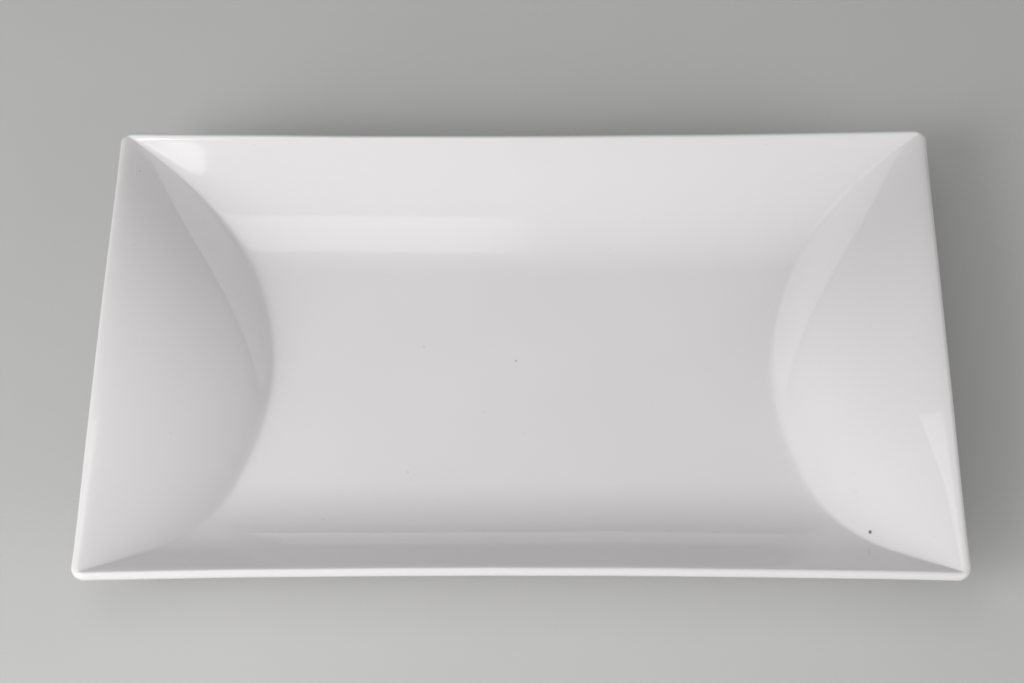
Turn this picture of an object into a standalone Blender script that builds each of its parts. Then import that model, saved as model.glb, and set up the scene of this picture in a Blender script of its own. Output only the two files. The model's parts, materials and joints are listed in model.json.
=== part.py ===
"""Rectangular porcelain plate: a trough-shaped well closed by two domed ends with arched rims.

Lengths are in metres and +Z is up. The origin is the middle of the foot's resting face, X runs
along the plate and Y across it. The glazed outside is worked out first, as one sheet of points
with a thickness. The glaze and the porcelain under it are that sheet at different depths.
"""
import math

import bmesh
import bpy
import numpy as np

# Outside of the plate, measured over the glaze
LENGTH = 0.350
WIDTH = 0.212
LONG_SIDE_BOW = 0.0021
SHORT_SIDE_BOW = 0.0025
CORNER_RADIUS = 0.0055

# Well: a flat floor, a bend and a straight wall along each long side
FLOOR_LENGTH = 0.2106
FLOOR_WIDTH = 0.1025
BEND_RADIUS = 0.055
WALL_ANGLE = math.radians(44.0)

# Ends: domed faces, from a curved crease up to an arched rim. They flatten over a length, and tend
# to a height that is given in depths of the well.
END_EASE = 0.0400
END_TENDS_TO = 1.77
END_ROUNDNESS = 1.65

# Thickness through glaze and porcelain together, and of the glaze alone
FLOOR_THICKNESS = 0.0050
RIM_THICKNESS = 0.0042
GLAZE_THICKNESS = 0.0003

# Foot ring under the floor
FOOT_HEIGHT = 0.0050
FOOT_STRIP = 0.0050
FOOT_SIDE_INSET = 0.0010
FOOT_END_INSET = 0.0060
FOOT_CORNER_RADIUS = 0.0140
FOOT_EDGE_ROUND = 0.0010

# Gap kept between neighbouring pieces
FIT_GAP = 0.0003

# Facets, and the fold between two of them that stays a sharp edge
FLOOR_STEPS = 2
CORNER_STEPS = 3
WALL_ROWS = 8
WELL_COLUMNS = 4
END_COLUMNS = 6
LIP_STEPS = 6
FOOT_CORNER_STEPS = 8
FOOT_EDGE_STEPS = 3
ROW_CROWDING = 1.6
COLUMN_CROWDING = 2.2
SHARP_ANGLE = math.radians(20)

# Worked out from the sizes above
LIP_RADIUS = RIM_THICKNESS / 2
FACE_HALF_WIDTH = WIDTH / 2 - LIP_RADIUS * (1 + math.sin(WALL_ANGLE))
FACE_CORNER = max(CORNER_RADIUS - LIP_RADIUS, FIT_GAP)
FLOOR_HALF_LENGTH = FLOOR_LENGTH / 2
FLOOR_HALF_WIDTH = FLOOR_WIDTH / 2
WALL_RUN = FACE_HALF_WIDTH - FLOOR_HALF_WIDTH
BEND_RUN = min(BEND_RADIUS * math.sin(WALL_ANGLE), WALL_RUN)
BEND_RISE = BEND_RADIUS - math.sqrt(BEND_RADIUS ** 2 - BEND_RUN ** 2)
WELL_DEPTH = BEND_RISE + (WALL_RUN - BEND_RUN) * math.tan(WALL_ANGLE)
END_TOP = END_TENDS_TO * WELL_DEPTH
CORNER_RUN = -END_EASE * math.log(1 - WELL_DEPTH / END_TOP)
CORNER_ANGLE = math.atan((END_TOP - WELL_DEPTH) / END_EASE)
FACE_HALF_LENGTH = LENGTH / 2 - LIP_RADIUS * (1 + math.sin(CORNER_ANGLE))
FLOOR_TOP = FOOT_HEIGHT + FLOOR_THICKNESS
BODY_DEPTH = GLAZE_THICKNESS + FIT_GAP
FOOT_HALF_LENGTH = FLOOR_HALF_LENGTH - FOOT_END_INSET
FOOT_HALF_WIDTH = FLOOR_HALF_WIDTH - FOOT_SIDE_INSET
FOOT_TOP = FOOT_HEIGHT + BODY_DEPTH - FIT_GAP

# Window that the glaze leaves round the foot
WINDOW_HALF_LENGTH = FOOT_HALF_LENGTH + FIT_GAP
WINDOW_HALF_WIDTH = FOOT_HALF_WIDTH + FIT_GAP
WINDOW_CORNER = FOOT_CORNER_RADIUS + FIT_GAP


def clear_scene():
    """Remove every object that the file opens with."""
    for thing in list(bpy.data.objects):
        bpy.data.objects.remove(thing, do_unlink=True)


def make_material(name, colour, roughness):
    """Principled material of one colour, for a surface that isn't metal."""
    material = bpy.data.materials.new(name)
    material.use_nodes = True
    shader = material.node_tree.nodes["Principled BSDF"]
    shader.inputs["Base Color"].default_value = (*colour, 1.0)
    shader.inputs["Roughness"].default_value = roughness
    shader.inputs["Metallic"].default_value = 0.0
    material.diffuse_color = (*colour, 1.0)
    return material


def add_object(name, points, faces, material):
    """Mesh object with its place in its points, smooth apart from its sharp folds."""
    mesh = bpy.data.meshes.new(name)
    mesh.from_pydata([tuple(point) for point in points], [], faces)
    mesh.materials.append(material)
    mesh.shade_smooth()
    mesh.set_sharp_from_angle(angle=SHARP_ANGLE)
    thing = bpy.data.objects.new(name, mesh)
    bpy.context.scene.collection.objects.link(thing)
    return thing


def mirrored(half):
    """Values on both sides of zero, from the values on one side that start at zero."""
    return np.concatenate([-half[..., :0:-1], half], axis=-1)


def crowded(steps, power):
    """Shares from above 0 up to 1, closer together towards 1."""
    return 1 - (1 - np.linspace(0, 1, steps + 1)[1:]) ** power


def window_stops(half, corner):
    """Distances from the middle out to the window's edge, with steps for its round corner."""
    straight = np.linspace(0, half - corner, FLOOR_STEPS + 1)
    round_part = np.linspace(half - corner, half, CORNER_STEPS + 1)
    return np.concatenate([straight, round_part[1:]])


def well_height(y):
    """Height of the trough over the floor: flat, then an arc, then a straight wall."""
    past_floor = np.clip(np.abs(y) - FLOOR_HALF_WIDTH, 0, None)
    in_bend = np.minimum(past_floor, BEND_RUN)
    on_wall = np.clip(past_floor - BEND_RUN, 0, None)
    bend_rise = BEND_RADIUS - np.sqrt(BEND_RADIUS ** 2 - in_bend ** 2)
    return bend_rise + on_wall * math.tan(WALL_ANGLE)


def end_start(y):
    """Distance from the plate's middle where an end leaves floor level: an even curve of y."""
    across = np.abs(y) / FACE_HALF_WIDTH
    bend = END_ROUNDNESS * across ** 2 + (1 - END_ROUNDNESS) * across ** 4
    return FLOOR_HALF_LENGTH + (FACE_HALF_LENGTH - CORNER_RUN - FLOOR_HALF_LENGTH) * bend


def end_height(x, y):
    """Height of an end over the floor: steep at its start, then flatter and flatter."""
    return END_TOP * (1 - np.exp((end_start(y) - x) / END_EASE))


def crease_at(y):
    """Distance from the plate's middle where an end is as high as the well, out to the corner."""
    return end_start(y) - END_EASE * np.log(1 - well_height(y) / END_TOP)


def short_rim_at(y):
    """Distance of the short rim from the plate's middle, drawn in at the middle of the side."""
    return FACE_HALF_LENGTH - SHORT_SIDE_BOW * (1 - (y / FACE_HALF_WIDTH) ** 2)


def round_corners(x, y, half_length, half_width, radius):
    """Move points near a rectangle's square corners onto quarter discs."""
    u = 1 - np.clip((half_length - np.abs(x)) / radius, 0, 1)
    v = 1 - np.clip((half_width - np.abs(y)) / radius, 0, 1)
    new_x = x - np.sign(x) * radius * u * (1 - np.sqrt(1 - v ** 2 / 2))
    new_y = y - np.sign(y) * radius * v * (1 - np.sqrt(1 - u ** 2 / 2))
    return new_x, new_y


def bow_sides(x, y):
    """Draw the long walls in at their middle, more and more from the floor up to the rim."""
    bow = LONG_SIDE_BOW * (1 - (x / FACE_HALF_LENGTH) ** 2)
    share = (np.abs(y) - WINDOW_HALF_WIDTH) / (FACE_HALF_WIDTH - WINDOW_HALF_WIDTH)
    return y - np.sign(y) * bow * np.clip(share, 0, 1)


def face_grid():
    """Points of the eating face, in rows along X whose columns follow the foot and the creases."""
    window_y = window_stops(WINDOW_HALF_WIDTH, WINDOW_CORNER)
    wall_y = WINDOW_HALF_WIDTH + (FACE_HALF_WIDTH - WINDOW_HALF_WIDTH) * crowded(WALL_ROWS, ROW_CROWDING)
    y = mirrored(np.concatenate([window_y, wall_y]))[:, None]
    crease = crease_at(y)
    window_x = window_stops(WINDOW_HALF_LENGTH, WINDOW_CORNER) + 0 * y
    well_x = WINDOW_HALF_LENGTH + (crease - WINDOW_HALF_LENGTH) * crowded(WELL_COLUMNS, COLUMN_CROWDING)
    along = np.linspace(0, 1, END_COLUMNS + 1)[1:]
    end_x = crease + (short_rim_at(y) - crease) * along
    end_z = end_height(end_x, y)
    x = mirrored(np.concatenate([window_x, well_x, end_x], axis=1))
    z = well_height(y) + 0 * x
    z[:, -END_COLUMNS:] = end_z
    z[:, :END_COLUMNS] = end_z[:, ::-1]
    plan_x, plan_y = round_corners(x, y + 0 * x, FACE_HALF_LENGTH, FACE_HALF_WIDTH, FACE_CORNER)
    return np.stack([plan_x, bow_sides(plan_x, plan_y), z + FLOOR_TOP], axis=-1)


def grid_numbers(rows, columns):
    """Point number at each place of the grid. An end's first and last rows are single points."""
    numbers = np.arange(rows * columns).reshape(rows, columns)
    for row in (0, rows - 1):
        numbers[row, :END_COLUMNS] = numbers[row, END_COLUMNS]
        numbers[row, columns - END_COLUMNS:] = numbers[row, columns - END_COLUMNS - 1]
    used, numbers = np.unique(numbers, return_inverse=True)
    return used, numbers.reshape(rows, columns)


def grid_faces(numbers):
    """Three-sided faces of the grid, counter-clockwise from above, alike in all four quarters."""
    rows, columns = numbers.shape
    faces = []
    for row in range(rows - 1):
        for column in range(columns - 1):
            ring = [int(numbers[row, column]), int(numbers[row, column + 1]),
                    int(numbers[row + 1, column + 1]), int(numbers[row + 1, column])]
            rises = (row < rows // 2) == (column < columns // 2)
            halves = [(0, 1, 2), (0, 2, 3)] if rises else [(1, 2, 3), (1, 3, 0)]
            for half in halves:
                face = [ring[corner] for corner in half]
                if len(set(face)) == len(face):
                    faces.append(face)
    return faces


def grid_edge(numbers):
    """Point numbers round the edge of the grid, counter-clockwise from above."""
    loop = np.concatenate([numbers[0], numbers[1:, -1], numbers[-1, -2::-1], numbers[-2:0:-1, 0]])
    return list(dict.fromkeys(int(number) for number in loop))


def bridge(loops):
    """Faces between each loop of points and the next one."""
    faces = []
    for upper, lower in zip(loops, loops[1:]):
        for here in range(len(upper)):
            after = (here + 1) % len(upper)
            faces.append([upper[here], lower[here], lower[after], upper[after]])
    return faces


def shifted(faces, by):
    """The same faces on points that are numbered from another start."""
    return [[number + by for number in face] for face in faces]


def turned(faces):
    """The same faces seen from behind."""
    return [face[::-1] for face in faces]


def sheet_normals(points, faces):
    """Unit normal of the face sheet at each point."""
    sheet = bmesh.new()
    corners = [sheet.verts.new(point) for point in points]
    for face in faces:
        sheet.faces.new([corners[number] for number in face])
    sheet.normal_update()
    normals = np.array([corner.normal[:] for corner in corners])
    sheet.free()
    return normals


class FaceSheet:
    """The glazed eating face as points, with the plate's thickness and lip behind them."""

    def __init__(self):
        grid = face_grid()
        used, numbers = grid_numbers(grid.shape[0], grid.shape[1])
        window = numbers[WALL_ROWS:-WALL_ROWS,
                         END_COLUMNS + WELL_COLUMNS:-(END_COLUMNS + WELL_COLUMNS)]
        self.points = grid.reshape(-1, 3)[used]
        self.faces = grid_faces(numbers)
        self.edge = grid_edge(numbers)
        self.window_points = np.unique(window)
        self.window_faces = grid_faces(window)
        self.window_edge = grid_edge(window)
        self.normals = sheet_normals(self.points, self.faces)
        height = np.clip((self.points[:, 2:] - FLOOR_TOP) / WELL_DEPTH, 0, 1)
        self.thickness = FLOOR_THICKNESS + (RIM_THICKNESS - FLOOR_THICKNESS) * height
        self.lip_out = self.lip_directions()

    def lip_directions(self):
        """Unit directions that leave the face's edge square to it, in the face's own slope."""
        rim = self.points[self.edge]
        run = np.roll(rim, -1, axis=0) - np.roll(rim, 1, axis=0)
        out = np.cross(run, self.normals[self.edge])
        return out / np.linalg.norm(out, axis=1, keepdims=True)

    def underside(self, depth):
        """Points under the face, with the window's corners rounded like the foot's."""
        points = self.points - (self.thickness - depth) * self.normals
        x, y = points[self.window_points, 0], points[self.window_points, 1]
        x, y = round_corners(x, y, WINDOW_HALF_LENGTH, WINDOW_HALF_WIDTH, WINDOW_CORNER)
        points[self.window_points, 0] = x
        points[self.window_points, 1] = y
        return points

    def skin_points(self, depth):
        """Points of the face, the underside and the round lip, at a depth under the glazed surface."""
        face = self.points - depth * self.normals
        normals = self.normals[self.edge]
        centre = self.points[self.edge] - LIP_RADIUS * normals
        layers = [face, self.underside(depth)]
        for step in range(1, LIP_STEPS):
            turn = math.pi * step / LIP_STEPS
            spoke = math.cos(turn) * normals + math.sin(turn) * self.lip_out
            layers.append(centre + (LIP_RADIUS - depth) * spoke)
        return np.concatenate(layers)

    def skin_faces(self, with_window):
        """Outward faces of such a skin, closed all round or open at the foot's window."""
        count = len(self.points)
        loops = [self.edge]
        for step in range(1, LIP_STEPS):
            start = 2 * count + (step - 1) * len(self.edge)
            loops.append(list(range(start, start + len(self.edge))))
        loops.append([count + number for number in self.edge])
        left_out = set(map(tuple, self.window_faces)) if with_window else set()
        under = [face for face in self.faces if tuple(face) not in left_out]
        return self.faces + shifted(turned(under), count) + bridge(loops)


def foot_outline(inset):
    """Rounded rectangle inside the foot's outer edge, counter-clockwise from above."""
    radius = max(FOOT_CORNER_RADIUS - inset, FIT_GAP)
    reach_x = FOOT_HALF_LENGTH - inset - radius
    reach_y = FOOT_HALF_WIDTH - inset - radius
    points = []
    for quarter, (side_x, side_y) in enumerate([(1, 1), (-1, 1), (-1, -1), (1, -1)]):
        for step in range(FOOT_CORNER_STEPS + 1):
            turn = math.pi / 2 * (quarter + step / FOOT_CORNER_STEPS)
            points.append((side_x * reach_x + radius * math.cos(turn),
                           side_y * reach_y + radius * math.sin(turn)))
    return points


def foot_section():
    """Inset and height round the foot's section: down outside, over the rounded sole, up inside."""
    section = [(0.0, FOOT_TOP)]
    for step in range(FOOT_EDGE_STEPS + 1):
        turn = math.pi / 2 * step / FOOT_EDGE_STEPS
        section.append((FOOT_EDGE_ROUND * (1 - math.cos(turn)), FOOT_EDGE_ROUND * (1 - math.sin(turn))))
    return section + [(FOOT_STRIP - inset, height) for inset, height in reversed(section)]


def build_porcelain_body(sheet, material):
    """The fired casting, under the glaze by its thickness and the fit gap."""
    return add_object("porcelain_body", sheet.skin_points(BODY_DEPTH), sheet.skin_faces(False), material)


def build_glaze_coat(sheet, material):
    """Thin coat all round the body, open where the foot is: an outer skin and an inner one."""
    outer = sheet.skin_points(0.0)
    inner = sheet.skin_points(GLAZE_THICKNESS)
    skin = sheet.skin_faces(True)
    under = len(sheet.points)
    outer_edge = [under + number for number in sheet.window_edge]
    inner_edge = [len(outer) + number for number in outer_edge]
    faces = skin + shifted(turned(skin), len(outer)) + bridge([outer_edge, inner_edge])
    return add_object("glaze_coat", np.concatenate([outer, inner]), faces, material)


def build_foot_ring(material):
    """Low rectangular ring under the floor, with a rounded sole."""
    points = []
    loops = []
    for inset, height in foot_section():
        outline = foot_outline(inset)
        loops.append(list(range(len(points), len(points) + len(outline))))
        points += [(x, y, height) for x, y in outline]
    return add_object("foot_ring", points, bridge(loops + loops[:1]), material)


def build_foot_well_glaze(material):
    """Thin flat coat on the underside inside the foot ring."""
    outline = foot_outline(FOOT_STRIP + FIT_GAP)
    upper = list(range(len(outline)))
    lower = [len(outline) + number for number in upper]
    points = [(x, y, FOOT_HEIGHT + GLAZE_THICKNESS) for x, y in outline]
    points += [(x, y, FOOT_HEIGHT) for x, y in outline]
    return add_object("foot_well_glaze", points, [upper, lower[::-1]] + bridge([upper, lower]), material)


def main():
    clear_scene()
    porcelain = make_material("porcelain", (0.72, 0.70, 0.67), 0.75)
    glaze = make_material("white_glaze", (0.80, 0.79, 0.79), 0.08)
    sheet = FaceSheet()
    build_porcelain_body(sheet, porcelain)
    build_glaze_coat(sheet, glaze)
    build_foot_ring(porcelain)
    build_foot_well_glaze(glaze)


main()
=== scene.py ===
"""Looks of the rectangular porcelain plate: fine glazed surfaces, materials, floor, light, camera.

Lengths are in metres in the CAD frame: X along the plate, Y across it, +Z up, and the origin in
the middle of the foot's resting face.
"""
import json
import math

import bpy
import numpy as np
from mathutils import Matrix, Quaternion, Vector

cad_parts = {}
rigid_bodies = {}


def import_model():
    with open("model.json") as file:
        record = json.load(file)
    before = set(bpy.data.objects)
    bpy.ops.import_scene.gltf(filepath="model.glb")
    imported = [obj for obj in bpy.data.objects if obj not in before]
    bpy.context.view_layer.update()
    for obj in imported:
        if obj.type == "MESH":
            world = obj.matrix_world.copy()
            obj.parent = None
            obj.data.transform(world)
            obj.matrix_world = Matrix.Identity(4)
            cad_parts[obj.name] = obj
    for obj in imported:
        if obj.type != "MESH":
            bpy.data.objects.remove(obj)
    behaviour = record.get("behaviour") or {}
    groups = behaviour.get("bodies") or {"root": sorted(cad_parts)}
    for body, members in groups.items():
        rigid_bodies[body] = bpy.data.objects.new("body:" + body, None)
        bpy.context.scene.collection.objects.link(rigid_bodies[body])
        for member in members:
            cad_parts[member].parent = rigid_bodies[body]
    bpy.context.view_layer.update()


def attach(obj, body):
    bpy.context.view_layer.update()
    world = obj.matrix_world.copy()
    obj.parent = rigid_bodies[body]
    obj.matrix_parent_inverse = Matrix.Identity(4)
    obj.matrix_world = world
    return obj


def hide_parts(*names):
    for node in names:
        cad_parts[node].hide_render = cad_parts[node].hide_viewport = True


# Plate, over its glaze, as in the CAD
LENGTH = 0.350
WIDTH = 0.212
LONG_SIDE_BOW = 0.0021
SHORT_SIDE_BOW = 0.0025
CORNER_RADIUS = 0.0055
FLOOR_LENGTH = 0.2106
FLOOR_WIDTH = 0.1025
BEND_RADIUS = 0.055
WALL_ANGLE = math.radians(44.0)
END_EASE = 0.0400
END_TENDS_TO = 1.77
END_ROUNDNESS = 1.65
FLOOR_THICKNESS = 0.0050
RIM_THICKNESS = 0.0042

# Foot, as in the CAD
FOOT_HEIGHT = 0.0050
FOOT_STRIP = 0.0050
FOOT_SIDE_INSET = 0.0010
FOOT_END_INSET = 0.0060
FOOT_CORNER_RADIUS = 0.0140

# Fine forms that the CAD leaves out
CREASE_FILLET = 0.0018
FIRING_WAVE = 0.00006
RIM_ROLL = 0.0010
FOOT_FLARE = 0.0016
FOOT_SOLE_ROUND = 0.0012
FOOT_BARE_STEP = 0.00012
FOOT_GLAZE_LINE = 0.0015
FOOT_GLAZE_BEAD = 0.00014
FOOT_GLAZE_BEAD_HEIGHT = 0.0005
WELL_GLAZE_PROUD = 0.0002
SET_IN = 0.0003

# Waves left by firing: length along X, length along Y (below zero where it leans the other way),
# start in turns, and share of the firing wave's height
FIRING_WAVES = (
    (0.083, 0.190, 0.13, 1.0),
    (0.141, -0.067, 0.57, 1.0),
    (0.052, 0.240, 0.81, 0.5),
)
WELL_WAVE_SHIFT = 0.02

# Worked out from the sizes above
LIP_RADIUS = RIM_THICKNESS / 2
FACE_HALF_LENGTH = LENGTH / 2 - LIP_RADIUS
FACE_HALF_WIDTH = WIDTH / 2 - LIP_RADIUS
FACE_CORNER = CORNER_RADIUS - LIP_RADIUS
FLOOR_HALF_LENGTH = FLOOR_LENGTH / 2
FLOOR_HALF_WIDTH = FLOOR_WIDTH / 2
BEND_RUN = BEND_RADIUS * math.sin(WALL_ANGLE)
BEND_RISE = BEND_RADIUS * (1 - math.cos(WALL_ANGLE))
WALL_REACH = BEND_RISE + (FACE_HALF_WIDTH - FLOOR_HALF_WIDTH - BEND_RUN) * math.tan(WALL_ANGLE)
WELL_DEPTH = WALL_REACH - RIM_ROLL
END_TOP = END_TENDS_TO * WELL_DEPTH
CORNER_RUN = -END_EASE * math.log(1 - WALL_REACH / END_TOP)
END_REACH = FACE_HALF_LENGTH - CORNER_RUN - FLOOR_HALF_LENGTH
FLOOR_TOP = FOOT_HEIGHT + FLOOR_THICKNESS
FOOT_HALF_LENGTH = FLOOR_HALF_LENGTH - FOOT_END_INSET
FOOT_HALF_WIDTH = FLOOR_HALF_WIDTH - FOOT_SIDE_INSET

# Straight up
UP = np.array([0.0, 0.0, 1.0])

# Grid of the plate's surface
ROWS = 64
WELL_COLUMNS = 56
END_COLUMNS = 40
LIP_STEPS = 14
CROWDING = 1.5

# Steps of the foot's section and outline
FOOT_FLARE_STEPS = 8
FOOT_SIDE_STEPS = 17
FOOT_ROUND_STEPS = 10
FOOT_CORNER_STEPS = 32

# Glaze inside the foot: its loops, the innermost one's share of the way out, the steps of a corner,
# the most that a corner takes of a loop's half width, and how steeply the edge turns down
WELL_LOOPS = 24
WELL_SLOT_SHARE = 0.06
WELL_CORNER_STEPS = 16
WELL_CORNER_LIMIT = 0.9
WELL_EDGE_POWER = 12

# Camera, fitted to the plate's rim and creases in the photograph's frame
PHOTO_WIDTH = 1024
SENSOR_WIDTH = 36.0
FOCAL_PIXELS = 2210.0
CAMERA_ELEVATION = math.radians(60.0)
CAMERA_TURN = 0.0370
CAMERA_ROLL = -0.0337
CAMERA_DISTANCE = 0.9405
CAMERA_AIM = (-0.0042, 0.0161, FLOOR_TOP)
CAMERA_CLIP = 0.01

# Colours, as linear light
GLAZE_WHITE = (0.800, 0.782, 0.788)
GLAZE_POOLED = (0.780, 0.765, 0.772)
GLAZE_THIN = (0.815, 0.800, 0.785)
SPECK_GREY = (0.16, 0.15, 0.14)
BARE_PORCELAIN = (0.66, 0.635, 0.595)
BARE_PORCELAIN_DARK = (0.55, 0.525, 0.485)
FLOOR_GREY = (0.56, 0.56, 0.555)

# Glaze. Patches and cells are counted to the metre, heights are in millimetres, an edge or a range
# is where an effect starts and ends, and a share says how far one colour goes towards another
MILLIMETRE = 0.001
TONE_PATCHES = 34.0
CLOUD_RANGE = (0.30, 0.70)
CLOUD_SHARE = 0.30
POOLED_SHARE = 0.55
THIN_SHARE = 0.8
PINHOLE_CELLS = 90.0
PINHOLE_EDGE = (0.020, 0.036)
PINHOLE_DEPTH = 0.03
PINHOLE_SHARE = 0.15
BROAD_PATCHES = 24.0
BROAD_HEIGHT = 0.10
PEEL_PATCHES = 330.0
PEEL_HEIGHT = 0.004
SPECK_EDGE = (0.5, 1.1)
GLOSS_RANGE = (0.25, 0.75)
GLAZE_ROUGHNESS = (0.020, 0.050)
GLAZE_IOR = 1.54

# Wiped foot, in the same terms. Its glaze line wanders up by half a millimetre at most, and the
# glaze comes in between two depths under the line, both in metres
LINE_PATCHES = 160.0
LINE_WANDER = 0.0005
LINE_DEPTH_BARE = 0.0004
LINE_DEPTH_GLAZED = 0.0002
STAIN_PATCHES = 70.0
STAIN_RANGE = (0.40, 0.75)
STAIN_SHARE = 0.6
GRAIN_PATCHES = 2600.0
GRAIN_RANGE = (0.55, 0.75)
GRAIN_SHARE = 0.5
GRAIN_HEIGHT = 0.06
FOOT_CLOUD_SHARE = 0.4
BARE_ROUGHNESS = 0.80
FOOT_GLAZE_ROUGHNESS = 0.04

# Floor, whose cloudy patches are paler by a factor
FLOOR_REACH = 6.0
FLOOR_PALER = 1.02
FLOOR_PATCHES = 6.0
FLOOR_ROUGHNESS = 0.9
FLOOR_SPECULAR = 0.2

# Lamps. A softbox has the azimuth and elevation it stands at, in degrees from the front towards the
# right and up, its distance, its roll in degrees, its width and height, and its watts
SOFTBOXES = {
    "low_key_softbox": ((-45, 18), 1.2, 0, (0.60, 0.50), 2.65),
    "main_key_softbox": ((-52, 33), 1.2, 0, (0.60, 0.60), 2.4),
    "high_key_softbox": ((-48, 45), 1.2, 0, (0.50, 0.50), 4.6),
    "corner_strip_softbox": ((-25.0, 41.5), 1.24, 25, (0.04, 0.20), 0.065),
    "fill_softbox": ((45, 22), 1.2, 0, (0.75, 0.75), 3.55),
}
PANEL_PLACE = (-0.23, -0.065, 1.2)
PANEL_SIZE = (0.54, 0.73)
PANEL_FADE = 0.22
PANEL_WATTS = 1.4
SURROUND_OVERHEAD = 0.48
SURROUND_OVERHEAD_POWER = 2.5
SURROUND_SIDES = 0.52
SURROUND_SIDES_POWER = 3.0
SURROUND_SIDES_START = 0.25
BACKDROP_PALE = 0.55

# Specks fired into the glaze: place along and across the plate, radius, then darkness from 0 to 1
SPECKS = (
    (0.1394, -0.0785, 0.00090, 1.00),
    (-0.0024, 0.0066, 0.00065, 0.40),
    (-0.0416, 0.0135, 0.00050, 0.20),
    (-0.0466, -0.0459, 0.00050, 0.22),
    (-0.0802, -0.0691, 0.00050, 0.20),
    (-0.1648, 0.0851, 0.00060, 0.25),
)


def rolled(height, rim):
    """A height whose slope turns level at the rim.

    Its drop below the rim is replaced by the root of the squares of that drop and the rim's roll.
    """
    return rim - np.hypot(rim - height, RIM_ROLL)


def straight_wall(y):
    """Height of the trough over the floor: flat, then an arc, then a straight wall."""
    past_floor = np.clip(np.abs(y) - FLOOR_HALF_WIDTH, 0, None)
    in_bend = np.minimum(past_floor, BEND_RUN)
    on_wall = np.clip(past_floor - BEND_RUN, 0, None)
    bend = BEND_RADIUS - np.sqrt(BEND_RADIUS ** 2 - in_bend ** 2)
    return bend + on_wall * math.tan(WALL_ANGLE)


def end_start(y):
    """Distance from the plate's middle where an end leaves floor level.

    It grows with the square and the fourth power of the share of the way out to the long rim.
    """
    across = np.abs(y) / FACE_HALF_WIDTH
    bend = END_ROUNDNESS * across ** 2 + (1 - END_ROUNDNESS) * across ** 4
    return FLOOR_HALF_LENGTH + END_REACH * bend


def straight_end(x, y):
    """Height of an end over the floor: steep at its start, then flatter as an exponential is."""
    return END_TOP * (1 - np.exp((end_start(y) - np.abs(x)) / END_EASE))


def crease_at(y):
    """Distance from the plate's middle where an end is as high as the trough, out to the corner."""
    return end_start(y) - END_EASE * np.log(1 - straight_wall(y) / END_TOP)


def short_rim_at(y):
    """Distance of the short rim from the plate's middle, drawn in at the middle of the side."""
    return FACE_HALF_LENGTH - SHORT_SIDE_BOW * (1 - (y / FACE_HALF_WIDTH) ** 2)


def rim_height(y):
    """Height of the short rim over the floor: an arch from the corners up to its middle."""
    return straight_end(short_rim_at(y), y) - RIM_ROLL


def well_height(y):
    """Height of the trough over the floor, level at the long rim."""
    return rolled(straight_wall(y), WALL_REACH)


def end_rise(x, y):
    """Height of an end over the trough, level at the short rim and below zero in the well."""
    return rolled(straight_end(x, y), straight_end(short_rim_at(y), y)) - well_height(y)


def firing_wave(x, y):
    """Slight unevenness from firing: the sum of crossing sine waves, 50 to 80 mm long."""
    total = 0.0
    for along, across, start, share in FIRING_WAVES:
        total = total + share * np.sin(2 * math.pi * (x / along + y / across + start))
    return FIRING_WAVE * total


def face_height(x, y):
    """Height of the eating face: trough and end joined by a rounded crease.

    The join is half of the end's rise plus half the root of its square and the fillet's square.
    The fillet narrows to nothing at the corners.
    """
    well = well_height(y)
    rise = end_rise(x, y)
    room = np.clip(WELL_DEPTH - well, 0, None)
    fillet = CREASE_FILLET * np.sqrt(room / WELL_DEPTH)
    return FLOOR_TOP + well + (rise + np.sqrt(rise ** 2 + fillet ** 2)) / 2


def round_corners(x, y, half_length, half_width, radius):
    """Move points near a rectangle's square corners onto quarter discs.

    In a corner square, u and v are the shares of the way to its two outer sides, and each is
    shortened to its product with the root of one less half the other's square.
    """
    u = 1 - np.clip((half_length - np.abs(x)) / radius, 0, 1)
    v = 1 - np.clip((half_width - np.abs(y)) / radius, 0, 1)
    new_x = x - np.sign(x) * radius * u * (1 - np.sqrt(1 - v ** 2 / 2))
    new_y = y - np.sign(y) * radius * v * (1 - np.sqrt(1 - u ** 2 / 2))
    return new_x, new_y


def bow_sides(x, y):
    """Draw the long walls in by a parabola along X, more and more from the floor up to the rim."""
    bow = LONG_SIDE_BOW * (1 - (x / FACE_HALF_LENGTH) ** 2)
    share = (np.abs(y) - FOOT_HALF_WIDTH) / (FACE_HALF_WIDTH - FOOT_HALF_WIDTH)
    return y - np.sign(y) * bow * np.clip(share, 0, 1)


def mirrored(half):
    """Values on both sides of zero, from the values on one side that start at zero."""
    return np.concatenate([-half[..., :0:-1], half], axis=-1)


def crowded(steps):
    """Shares from 0 to 1, closer together towards 1: one less a power of the share that is left."""
    return 1 - (1 - np.linspace(0, 1, steps + 1)) ** CROWDING


def plate_grid():
    """Plan positions of the face's points, in rows along X whose columns follow the creases."""
    y = FACE_HALF_WIDTH * mirrored(crowded(ROWS))[:, None]
    crease = crease_at(y)
    well_x = crease * crowded(WELL_COLUMNS)
    along = 1 - crowded(END_COLUMNS)[-2::-1]
    end_x = crease + (short_rim_at(y) - crease) * along
    x = mirrored(np.concatenate([well_x, end_x], axis=1))
    return x, y + 0 * x


def grid_numbers(rows, columns):
    """Point number at each place of the grid. An end's first and last rows are single points."""
    numbers = np.arange(rows * columns).reshape(rows, columns)
    edge_rows = [0, rows - 1]
    numbers[edge_rows, :END_COLUMNS] = numbers[edge_rows, END_COLUMNS][:, None]
    last = columns - END_COLUMNS - 1
    numbers[edge_rows, last + 1:] = numbers[edge_rows, last][:, None]
    used, numbers = np.unique(numbers, return_inverse=True)
    return used, numbers.reshape(rows, columns)


def grid_quads(numbers):
    """Four point numbers for each cell of the grid, counter-clockwise from above."""
    cells = [numbers[:-1, :-1], numbers[:-1, 1:], numbers[1:, 1:], numbers[1:, :-1]]
    return np.stack(cells, axis=-1).reshape(-1, 4)


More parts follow.
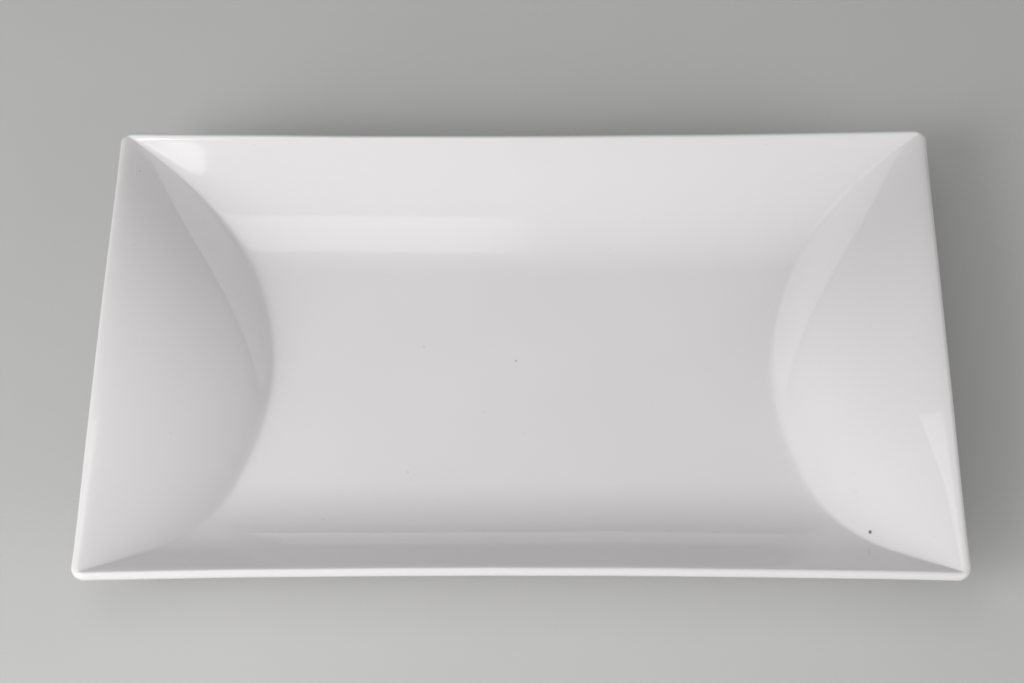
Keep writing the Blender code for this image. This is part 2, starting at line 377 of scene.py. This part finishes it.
def grid_edge(numbers):
    """Point numbers round the edge of the grid, counter-clockwise from above, each once."""
    loop = np.concatenate([numbers[0], numbers[1:, -1], numbers[-1, -2::-1], numbers[-2:0:-1, 0]])
    return loop[loop != np.roll(loop, 1)]


def bridge(upper, lower):
    """Four-sided faces between a closed loop of points and the next one."""
    return np.stack([upper, lower, np.roll(lower, -1), np.roll(upper, -1)], axis=-1)


def face_list(quads):
    """Faces for a mesh: quads, or triangles where a quad's first or last two corners are one."""
    low = quads[:, 0] == quads[:, 1]
    high = quads[:, 2] == quads[:, 3]
    whole = quads[~(low | high)].tolist()
    return whole + quads[low][:, [0, 2, 3]].tolist() + quads[high][:, [0, 1, 2]].tolist()


def surface_normals(points, quads):
    """Unit normal at each point: the sum of its faces' diagonals crossed, made unit long."""
    diagonal = points[quads[:, 2]] - points[quads[:, 0]]
    other = points[quads[:, 3]] - points[quads[:, 1]]
    facing = np.cross(diagonal, other)
    normals = np.zeros_like(points)
    for corner in range(4):
        np.add.at(normals, quads[:, corner], facing)
    return normals / np.linalg.norm(normals, axis=1, keepdims=True)


def plate_face(x, y):
    """Points of the eating face: the grid with round corners and bowed sides, at its heights."""
    plan_x, plan_y = round_corners(x, y, FACE_HALF_LENGTH, FACE_HALF_WIDTH, FACE_CORNER)
    plan_y = bow_sides(plan_x, plan_y)
    z = face_height(x, y) + firing_wave(plan_x, plan_y)
    return np.stack([plan_x, plan_y, z], axis=-1).reshape(-1, 3)


def plate_underside(face, quads, edge, rim_rise):
    """The face moved back along its normals, and straight down at its edge.

    The thickness goes from the floor's to the rim's with the share of the way up to the short rim.
    """
    normals = surface_normals(face, quads)
    normals[edge] = UP
    height = (face[:, 2] - FLOOR_TOP) / rim_rise
    thickness = FLOOR_THICKNESS + (RIM_THICKNESS - FLOOR_THICKNESS) * height
    return face - thickness[:, None] * normals


def lip_turns():
    """Turns of a half circle in even steps, without its two ends."""
    return math.pi * np.arange(1, LIP_STEPS) / LIP_STEPS


def plate_lip(rim):
    """Loops of points from the face's edge to the underside's: an upright half circle round the rim.

    It turns from straight up through the level outward direction to straight down.
    """
    out = np.cross(np.roll(rim, -1, axis=0) - np.roll(rim, 1, axis=0), UP)
    out = out / np.linalg.norm(out, axis=1, keepdims=True)
    turn = lip_turns()[:, None, None]
    return rim - LIP_RADIUS * UP + LIP_RADIUS * (np.cos(turn) * UP + np.sin(turn) * out)


def plate_skin():
    """Points, faces and two glaze masks of the plate's whole outside: face, underside and lip.

    Glaze is pooled by a bell curve of the end's rise over the trough, so most in the creases, and
    thin by the sine of the turn round the lip.
    """
    x, y = plate_grid()
    used, numbers = grid_numbers(*x.shape)
    quads = grid_quads(numbers)
    edge = grid_edge(numbers)
    face = plate_face(x, y)[used]
    underside = plate_underside(face, quads, edge, rim_height(y).reshape(-1)[used])
    lip = plate_lip(face[edge])

    count = len(face)
    lip_numbers = 2 * count + np.arange(lip.shape[0] * lip.shape[1]).reshape(lip.shape[:2])
    loops = np.concatenate([edge[None], lip_numbers, edge[None] + count])
    lip_quads = np.concatenate([bridge(loops[i], loops[i + 1]) for i in range(len(loops) - 1)])
    faces = face_list(quads) + [cell[::-1] for cell in face_list(quads + count)]
    faces = faces + lip_quads.tolist()
    points = np.concatenate([face, underside, lip.reshape(-1, 3)])

    rise = end_rise(x, y).reshape(-1)[used]
    pooled = np.zeros(len(points))
    pooled[:count] = np.exp(-(rise / CREASE_FILLET) ** 2)
    thin = np.zeros(len(points))
    thin[2 * count:] = np.repeat(np.sin(lip_turns()), len(edge))
    return points, faces, {"glaze_pooled": pooled, "glaze_thin": thin}


def corner_turns(steps):
    """Turn at each point round a rounded rectangle, and the side in X and in Y of its corner.

    The corners follow each other counter-clockwise, each a quarter turn of that many steps.
    """
    turn = np.linspace(0, math.pi / 2, steps + 1)
    turns = np.concatenate([turn, turn + math.pi / 2, turn + math.pi, turn + 1.5 * math.pi])
    side_x = np.repeat([1.0, -1.0, -1.0, 1.0], len(turn))
    side_y = np.repeat([1.0, 1.0, -1.0, -1.0], len(turn))
    return turns, side_x, side_y


def foot_outlines(insets):
    """Rounded rectangles inside the foot's outer edge, one for each inset, from above.

    A corner's points lie on a quarter circle whose radius is the corner's less the inset.
    """
    turns, side_x, side_y = corner_turns(FOOT_CORNER_STEPS)
    radius = (FOOT_CORNER_RADIUS - insets)[:, None]
    x = side_x * (FOOT_HALF_LENGTH - FOOT_CORNER_RADIUS) + radius * np.cos(turns)
    y = side_y * (FOOT_HALF_WIDTH - FOOT_CORNER_RADIUS) + radius * np.sin(turns)
    return x, y


def foot_section():
    """Inset and height down the foot's outer side and over half its sole.

    A hollow quarter circle leaves the plate, a straight side drops to a bead of glaze, the bare
    side steps in under it, and a quarter circle turns into the flat sole. The bead is a bell curve
    whose middle lies half its height over the glaze line, and the step comes in across the line.
    """
    turn = np.linspace(math.pi / 2, 0, FOOT_FLARE_STEPS + 1)
    flare_inset = FOOT_FLARE * (np.cos(turn) - 1)
    flare_height = FOOT_HEIGHT + FOOT_FLARE * (np.sin(turn) - 1)
    side_height = np.linspace(FOOT_HEIGHT - FOOT_FLARE, FOOT_SOLE_ROUND, FOOT_SIDE_STEPS + 1)[1:]
    over_line = (side_height - FOOT_GLAZE_LINE) / FOOT_GLAZE_BEAD_HEIGHT
    bead = FOOT_GLAZE_BEAD * np.exp(-(2 * over_line - 1) ** 2 * 2)
    step = FOOT_BARE_STEP * np.clip(0.5 - 2 * over_line, 0, 1)
    side_inset = step - bead
    turn = np.linspace(0, math.pi / 2, FOOT_ROUND_STEPS + 1)[1:]
    round_inset = FOOT_BARE_STEP + FOOT_SOLE_ROUND * (1 - np.cos(turn))
    round_height = FOOT_SOLE_ROUND * (1 - np.sin(turn))
    inset = np.concatenate([flare_inset[:1], flare_inset, side_inset, round_inset])
    height = np.concatenate([[FOOT_HEIGHT + SET_IN], flare_height, side_height, round_height])
    return inset, height


def foot_skin():
    """Points and faces of the foot ring: its section, mirrored, carried round its outline."""
    half_inset, half_height = foot_section()
    inset = np.concatenate([half_inset, FOOT_STRIP - half_inset[::-1]])
    height = np.concatenate([half_height, half_height[::-1]])
    x, y = foot_outlines(inset)
    points = np.stack([x, y, height[:, None] + 0 * x], axis=-1).reshape(-1, 3)
    loops = np.arange(x.size).reshape(x.shape)
    below = np.roll(loops, -1, axis=0)
    quads = np.concatenate([bridge(loops[i], below[i]) for i in range(len(loops))])
    return points, quads.tolist()


def foot_well_loops(insets):
    """Rounded rectangles inside the foot, one for each inset, from above.

    A corner keeps its radius until a rectangle is narrow, then shrinks with its half width.
    """
    turns, side_x, side_y = corner_turns(WELL_CORNER_STEPS)
    half_width = (FOOT_HALF_WIDTH - insets)[:, None]
    half_length = (FOOT_HALF_LENGTH - insets)[:, None]
    radius = np.minimum(FOOT_CORNER_RADIUS - FOOT_STRIP, WELL_CORNER_LIMIT * half_width)
    x = side_x * (half_length - radius) + radius * np.cos(turns)
    y = side_y * (half_width - radius) + radius * np.sin(turns)
    return x, y


def foot_well_skin():
    """Points and faces of the glaze inside the foot: a thin slab with a slightly wavy lower face.

    The slab is a stack of rounded rectangles shrinking to a narrow slot that one face closes, and its
    lower face turns down into the foot by a steep power of the share of the way out.
    """
    share = np.linspace(WELL_SLOT_SHARE, 1, WELL_LOOPS)
    inner = FOOT_STRIP - FOOT_FLARE / 2
    spread = FOOT_HALF_WIDTH - inner
    inset = inner + spread * (1 - share)
    x, y = foot_well_loops(inset)
    turned_down = SET_IN * share[:, None] ** WELL_EDGE_POWER
    lower_z = FOOT_HEIGHT - WELL_GLAZE_PROUD + firing_wave(x + WELL_WAVE_SHIFT, y) - turned_down
    upper_z = FOOT_HEIGHT + SET_IN + 0 * lower_z
    lower = np.stack([x, y, lower_z], axis=-1)
    upper = np.stack([x, y, upper_z], axis=-1)[::-1]
    layers = np.concatenate([lower, upper])
    loops = np.arange(layers.shape[0] * layers.shape[1]).reshape(layers.shape[:2])
    quads = np.concatenate([bridge(loops[i + 1], loops[i]) for i in range(len(loops) - 1)])
    slots = [loops[0][::-1].tolist(), loops[-1].tolist()]
    return layers.reshape(-1, 3), quads.tolist() + slots


def add_piece(name, points, faces, material, masks=None):
    """Smooth mesh object at the origin, with its place in its points and its masks on them."""
    mesh = bpy.data.meshes.new(name)
    mesh.from_pydata(points.tolist(), [], faces)
    for mask, values in (masks or {}).items():
        layer = mesh.attributes.new(mask, "FLOAT", "POINT")
        layer.data.foreach_set("value", values.astype(np.float32))
    mesh.materials.append(material)
    mesh.shade_smooth()
    piece = bpy.data.objects.new(name, mesh)
    bpy.context.scene.collection.objects.link(piece)
    return piece


def add_node(tree, kind, **settings):
    """A new node in a tree, with its settings."""
    node = tree.nodes.new(kind)
    for name, value in settings.items():
        setattr(node, name, value)
    return node


def put(tree, value, socket):
    """Feed a socket from another socket, or set it to a plain value."""
    if isinstance(value, bpy.types.NodeSocket):
        tree.links.new(value, socket)
    else:
        socket.default_value = value


def math_node(tree, operation, first, second=0.0):
    """Result of one sum on two values."""
    node = add_node(tree, "ShaderNodeMath", operation=operation)
    put(tree, first, node.inputs[0])
    put(tree, second, node.inputs[1])
    return node.outputs[0]


def ramp(tree, value, start, end, low=0.0, high=1.0):
    """A value carried smoothly from one range to another and held at both ends."""
    node = add_node(tree, "ShaderNodeMapRange", interpolation_type="SMOOTHSTEP")
    put(tree, value, node.inputs["Value"])
    put(tree, start, node.inputs["From Min"])
    put(tree, end, node.inputs["From Max"])
    put(tree, low, node.inputs["To Min"])
    put(tree, high, node.inputs["To Max"])
    return node.outputs["Result"]


def mix_colours(tree, share, first, second):
    """The first colour at share 0 and the second at share 1.

    A Mix node keeps its two colours in inputs 6 and 7, and their mix in output 2.
    """
    node = add_node(tree, "ShaderNodeMix", data_type="RGBA")
    put(tree, share, node.inputs["Factor"])
    put(tree, first, node.inputs[6])
    put(tree, second, node.inputs[7])
    return node.outputs[2]


def noise(tree, place, patches, detail):
    """Cloudy noise from 0 to 1 at that many patches to the metre."""
    node = add_node(tree, "ShaderNodeTexNoise")
    put(tree, place, node.inputs["Vector"])
    node.inputs["Scale"].default_value = patches
    node.inputs["Detail"].default_value = detail
    return node.outputs["Fac"]


def make_glaze_group():
    """Group for a fired glaze: its cloudy tone, its pinholes and the height of its surface.

    The height is a broad wave, a fine orange peel and a dip at each pinhole, in millimetres.
    """
    group = bpy.data.node_groups.new("fired_glaze", "ShaderNodeTree")
    group.interface.new_socket("Place", in_out="INPUT", socket_type="NodeSocketVector")
    group.interface.new_socket("Tone", in_out="OUTPUT", socket_type="NodeSocketFloat")
    group.interface.new_socket("Pinholes", in_out="OUTPUT", socket_type="NodeSocketFloat")
    group.interface.new_socket("Height", in_out="OUTPUT", socket_type="NodeSocketFloat")
    place = add_node(group, "NodeGroupInput").outputs["Place"]
    result = add_node(group, "NodeGroupOutput")
    tone = noise(group, place, TONE_PATCHES, detail=4.0)
    cells = add_node(group, "ShaderNodeTexVoronoi")
    put(group, place, cells.inputs["Vector"])
    cells.inputs["Scale"].default_value = PINHOLE_CELLS
    pinholes = ramp(group, cells.outputs["Distance"], *PINHOLE_EDGE, 1.0, 0.0)
    broad = math_node(group, "MULTIPLY", noise(group, place, BROAD_PATCHES, detail=1.0), BROAD_HEIGHT)
    peel = math_node(group, "MULTIPLY", noise(group, place, PEEL_PATCHES, detail=2.0), PEEL_HEIGHT)
    dips = math_node(group, "MULTIPLY", pinholes, PINHOLE_DEPTH)
    height = math_node(group, "SUBTRACT", math_node(group, "ADD", broad, peel), dips)
    put(group, tone, result.inputs["Tone"])
    put(group, pinholes, result.inputs["Pinholes"])
    put(group, height, result.inputs["Height"])
    return group


def make_speck_group():
    """Group for one fired speck: 1 within half its radius of its centre, 0 from just past the radius."""
    group = bpy.data.node_groups.new("fired_speck", "ShaderNodeTree")
    group.interface.new_socket("Place", in_out="INPUT", socket_type="NodeSocketVector")
    group.interface.new_socket("Centre", in_out="INPUT", socket_type="NodeSocketVector")
    group.interface.new_socket("Radius", in_out="INPUT", socket_type="NodeSocketFloat")
    group.interface.new_socket("Mask", in_out="OUTPUT", socket_type="NodeSocketFloat")
    given = add_node(group, "NodeGroupInput")
    result = add_node(group, "NodeGroupOutput")
    distance = add_node(group, "ShaderNodeVectorMath", operation="DISTANCE")
    put(group, given.outputs["Place"], distance.inputs[0])
    put(group, given.outputs["Centre"], distance.inputs[1])
    share = math_node(group, "DIVIDE", distance.outputs["Value"], given.outputs["Radius"])
    put(group, ramp(group, share, *SPECK_EDGE, 1.0, 0.0), result.inputs["Mask"])
    return group


def start_material(name):
    """A material with its node tree, its shader and Object coordinates."""
    material = bpy.data.materials.new(name)
    material.use_nodes = True
    tree = material.node_tree
    shader = tree.nodes["Principled BSDF"]
    place = add_node(tree, "ShaderNodeTexCoord").outputs["Object"]
    return material, tree, shader, place


def glaze_nodes(tree, place, group):
    """Tone, pinholes and height of the glaze at a place."""
    node = add_node(tree, "ShaderNodeGroup", node_tree=group)
    put(tree, place, node.inputs["Place"])
    return node.outputs["Tone"], node.outputs["Pinholes"], node.outputs["Height"]


def bump(tree, height, shader):
    """Bend the shader's normal by a height in millimetres."""
    node = add_node(tree, "ShaderNodeBump")
    node.inputs["Strength"].default_value = 1.0
    node.inputs["Distance"].default_value = MILLIMETRE
    put(tree, height, node.inputs["Height"])
    put(tree, node.outputs["Normal"], shader.inputs["Normal"])


def own_mask(tree, name):
    """A mask stored on the piece's own points."""
    return add_node(tree, "ShaderNodeAttribute", attribute_name=name).outputs["Fac"]


def speck_mask(tree, place, group):
    """Where the fired specks are, each on the eating face at its place."""
    total = 0.0
    for along, across, radius, darkness in SPECKS:
        node = add_node(tree, "ShaderNodeGroup", node_tree=group)
        height = float(face_height(np.array(along), np.array(across)))
        put(tree, place, node.inputs["Place"])
        node.inputs["Centre"].default_value = (along, across, height)
        node.inputs["Radius"].default_value = radius
        mark = math_node(tree, "MULTIPLY", node.outputs["Mask"], darkness)
        total = math_node(tree, "MAXIMUM", mark, total)
    return total


def make_white_glaze(glaze_group, speck_group):
    """Clear glossy glaze on white porcelain, a little darker where pooled and warmer where thin."""
    material, tree, shader, place = start_material("white_glaze")
    tone, pinholes, height = glaze_nodes(tree, place, glaze_group)
    cloud = ramp(tree, tone, *CLOUD_RANGE, 0.0, CLOUD_SHARE)
    colour = mix_colours(tree, cloud, (*GLAZE_WHITE, 1), (*GLAZE_POOLED, 1))
    pooled = math_node(tree, "MULTIPLY", own_mask(tree, "glaze_pooled"), POOLED_SHARE)
    colour = mix_colours(tree, pooled, colour, (*GLAZE_POOLED, 1))
    thin = math_node(tree, "MULTIPLY", own_mask(tree, "glaze_thin"), THIN_SHARE)
    colour = mix_colours(tree, thin, colour, (*GLAZE_THIN, 1))
    faint_pinholes = math_node(tree, "MULTIPLY", pinholes, PINHOLE_SHARE)
    marks = math_node(tree, "MAXIMUM", speck_mask(tree, place, speck_group), faint_pinholes)
    colour = mix_colours(tree, marks, colour, (*SPECK_GREY, 1))
    put(tree, colour, shader.inputs["Base Color"])
    put(tree, ramp(tree, tone, *GLOSS_RANGE, *GLAZE_ROUGHNESS), shader.inputs["Roughness"])
    shader.inputs["IOR"].default_value = GLAZE_IOR
    bump(tree, height, shader)
    return material


def make_foot_porcelain(glaze_group):
    """Glazed foot whose sole was wiped bare before firing, with a slightly wandering glaze line."""
    material, tree, shader, place = start_material("foot_porcelain")
    tone, _, height = glaze_nodes(tree, place, glaze_group)
    parts = add_node(tree, "ShaderNodeSeparateXYZ")
    put(tree, place, parts.inputs[0])
    wander = math_node(tree, "MULTIPLY", noise(tree, place, LINE_PATCHES, detail=3.0), LINE_WANDER)
    level = math_node(tree, "SUBTRACT", parts.outputs["Z"], wander)
    glazed = ramp(tree, level, FOOT_GLAZE_LINE - LINE_DEPTH_BARE, FOOT_GLAZE_LINE - LINE_DEPTH_GLAZED)
    stain = noise(tree, place, STAIN_PATCHES, detail=4.0)
    stained = ramp(tree, stain, *STAIN_RANGE, 0.0, STAIN_SHARE)
    bare = mix_colours(tree, stained, (*BARE_PORCELAIN, 1), (*BARE_PORCELAIN_DARK, 1))
    grain = noise(tree, place, GRAIN_PATCHES, detail=3.0)
    grained = ramp(tree, grain, *GRAIN_RANGE, 0.0, GRAIN_SHARE)
    bare = mix_colours(tree, grained, bare, (*BARE_PORCELAIN_DARK, 1))
    cloud = ramp(tree, tone, *CLOUD_RANGE, 0.0, FOOT_CLOUD_SHARE)
    coat = mix_colours(tree, cloud, (*GLAZE_WHITE, 1), (*GLAZE_POOLED, 1))
    put(tree, mix_colours(tree, glazed, bare, coat), shader.inputs["Base Color"])
    roughness = ramp(tree, glazed, 0.0, 1.0, BARE_ROUGHNESS, FOOT_GLAZE_ROUGHNESS)
    put(tree, roughness, shader.inputs["Roughness"])
    shader.inputs["IOR"].default_value = GLAZE_IOR
    smoothed = math_node(tree, "MULTIPLY", glazed, GRAIN_HEIGHT)
    grain_height = math_node(tree, "SUBTRACT", GRAIN_HEIGHT, smoothed)
    rough_height = math_node(tree, "MULTIPLY", grain, grain_height)
    bump(tree, math_node(tree, "ADD", rough_height, height), shader)
    return material


def make_floor_paper():
    """Pale matt paper with the faintest cloudiness."""
    material, tree, shader, place = start_material("studio_paper")
    cloud = ramp(tree, noise(tree, place, FLOOR_PATCHES, detail=3.0), *CLOUD_RANGE)
    paler = tuple(FLOOR_PALER * part for part in FLOOR_GREY)
    put(tree, mix_colours(tree, cloud, (*FLOOR_GREY, 1), (*paler, 1)), shader.inputs["Base Color"])
    shader.inputs["Roughness"].default_value = FLOOR_ROUGHNESS
    shader.inputs["Specular IOR Level"].default_value = FLOOR_SPECULAR
    return material


def add_floor():
    """A wide flat floor under the plate."""
    corners = FLOOR_REACH * np.array([[-1, -1, 0], [1, -1, 0], [1, 1, 0], [-1, 1, 0]])
    floor = add_piece("studio_floor", corners, [[0, 1, 2, 3]], make_floor_paper())


def direction_to(azimuth, elevation):
    """Unit vector to a place at an azimuth, from the front towards the right, and an elevation."""
    level = math.cos(elevation)
    return np.array([math.sin(azimuth) * level, -math.cos(azimuth) * level, math.sin(elevation)])


def add_lamp(name, size, watts):
    """A rectangular lamp of a width, a height and a power, at the origin and facing down."""
    lamp = bpy.data.lights.new(name, "AREA")
    lamp.shape = "RECTANGLE"
    lamp.size, lamp.size_y = size
    lamp.energy = watts
    holder = bpy.data.objects.new(name, lamp)
    bpy.context.scene.collection.objects.link(holder)
    return holder


def add_softbox(name, towards, distance, roll, size, watts):
    """A lamp that faces the plate from a direction, rolled about that direction."""
    holder = add_lamp(name, size, watts)
    azimuth, elevation = (math.radians(angle) for angle in towards)
    direction = Vector(direction_to(azimuth, elevation))
    holder.location = direction * distance
    holder.rotation_mode = "QUATERNION"
    turn = Quaternion((0, 0, 1), math.radians(roll))
    holder.rotation_quaternion = direction.to_track_quat("Z", "Y") @ turn


def add_overhead_panel():
    """A level lamp over the plate that faces straight down and fades out towards its right edge."""
    holder = add_lamp("overhead_panel", PANEL_SIZE, PANEL_WATTS)
    holder.location = PANEL_PLACE
    holder.data.use_nodes = True
    tree = holder.data.node_tree
    across = add_node(tree, "ShaderNodeSeparateXYZ")
    put(tree, add_node(tree, "ShaderNodeNewGeometry").outputs["Parametric"], across.inputs[0])
    fade = ramp(tree, across.outputs["X"], 1 - PANEL_FADE, 1.0, 1.0, 0.0)
    put(tree, fade, tree.nodes["Emission"].inputs["Strength"])


def add_surround():
    """A dim glow overhead and at both sides, dark along the horizon in front and behind.

    Its strength is the overhead level times a power of the direction's upward part, plus the side
    level times a power of its sideways part, which is let in just above the horizon. The camera
    itself sees an even pale backdrop instead, which lights nothing.
    """
    world = bpy.data.worlds.new("studio_surround")
    bpy.context.scene.world = world
    world.use_nodes = True
    tree = world.node_tree
    direction = add_node(tree, "ShaderNodeSeparateXYZ")
    put(tree, add_node(tree, "ShaderNodeTexCoord").outputs["Generated"], direction.inputs[0])
    upward = math_node(tree, "MAXIMUM", direction.outputs["Z"], 0.0)
    overhead = math_node(tree, "POWER", upward, SURROUND_OVERHEAD_POWER)
    sideways = math_node(tree, "ABSOLUTE", direction.outputs["X"])
    sides = math_node(tree, "POWER", sideways, SURROUND_SIDES_POWER)
    sides = math_node(tree, "MULTIPLY", sides, ramp(tree, upward, 0.0, SURROUND_SIDES_START))
    glow = math_node(tree, "MULTIPLY", overhead, SURROUND_OVERHEAD)
    strength = math_node(tree, "ADD", glow, math_node(tree, "MULTIPLY", sides, SURROUND_SIDES))
    seen = add_node(tree, "ShaderNodeLightPath").outputs["Is Camera Ray"]
    background = tree.nodes["Background"]
    background.inputs["Color"].default_value = (1, 1, 1, 1)
    put(tree, ramp(tree, seen, 0.0, 1.0, strength, BACKDROP_PALE), background.inputs["Strength"])


def add_light():
    """Three key softboxes and a narrow one at the left, a fill, an overhead panel and a dim surround."""
    for name, lamp in SOFTBOXES.items():
        add_softbox(name, *lamp)
    add_overhead_panel()
    add_surround()


def add_camera():
    """Camera at the photograph's angle: behind its aim by its distance, turned and rolled."""
    back = direction_to(CAMERA_TURN, CAMERA_ELEVATION)
    right = np.array([math.cos(CAMERA_TURN), math.sin(CAMERA_TURN), 0.0])
    up = np.cross(back, right)
    rolled_right = math.cos(CAMERA_ROLL) * right + math.sin(CAMERA_ROLL) * up
    rolled_up = -math.sin(CAMERA_ROLL) * right + math.cos(CAMERA_ROLL) * up
    place = np.array(CAMERA_AIM) + CAMERA_DISTANCE * back
    lens = bpy.data.cameras.new("camera")
    lens.sensor_fit = "HORIZONTAL"
    lens.sensor_width = SENSOR_WIDTH
    lens.lens = FOCAL_PIXELS * SENSOR_WIDTH / PHOTO_WIDTH
    lens.clip_start = CAMERA_CLIP
    holder = bpy.data.objects.new("camera", lens)
    axes = np.eye(4)
    axes[:3] = np.stack([rolled_right, rolled_up, back, place], axis=1)
    holder.matrix_world = Matrix(axes.tolist())
    bpy.context.scene.collection.objects.link(holder)
    bpy.context.scene.camera = holder


def add_plate():
    """The three visible pieces of the plate, in place of the CAD's four solids."""
    glaze_group = make_glaze_group()
    white_glaze = make_white_glaze(glaze_group, make_speck_group())
    points, faces, masks = plate_skin()
    plate = add_piece("glazed_plate", points, faces, white_glaze, masks)
    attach(plate, "root")
    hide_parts("porcelain_body", "glaze_coat")
    points, faces = foot_well_skin()
    well = add_piece("foot_well_coat", points, faces, white_glaze)
    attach(well, "root")
    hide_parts("foot_well_glaze")
    points, faces = foot_skin()
    foot = add_piece("wiped_foot_ring", points, faces, make_foot_porcelain(glaze_group))
    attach(foot, "root")
    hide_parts("foot_ring")


def clear_scene():
    """Remove every object that the file opens with."""
    for thing in list(bpy.data.objects):
        bpy.data.objects.remove(thing, do_unlink=True)


clear_scene()
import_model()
bpy.context.scene.view_settings.view_transform = "Standard"
add_plate()
add_floor()
add_light()
add_camera()
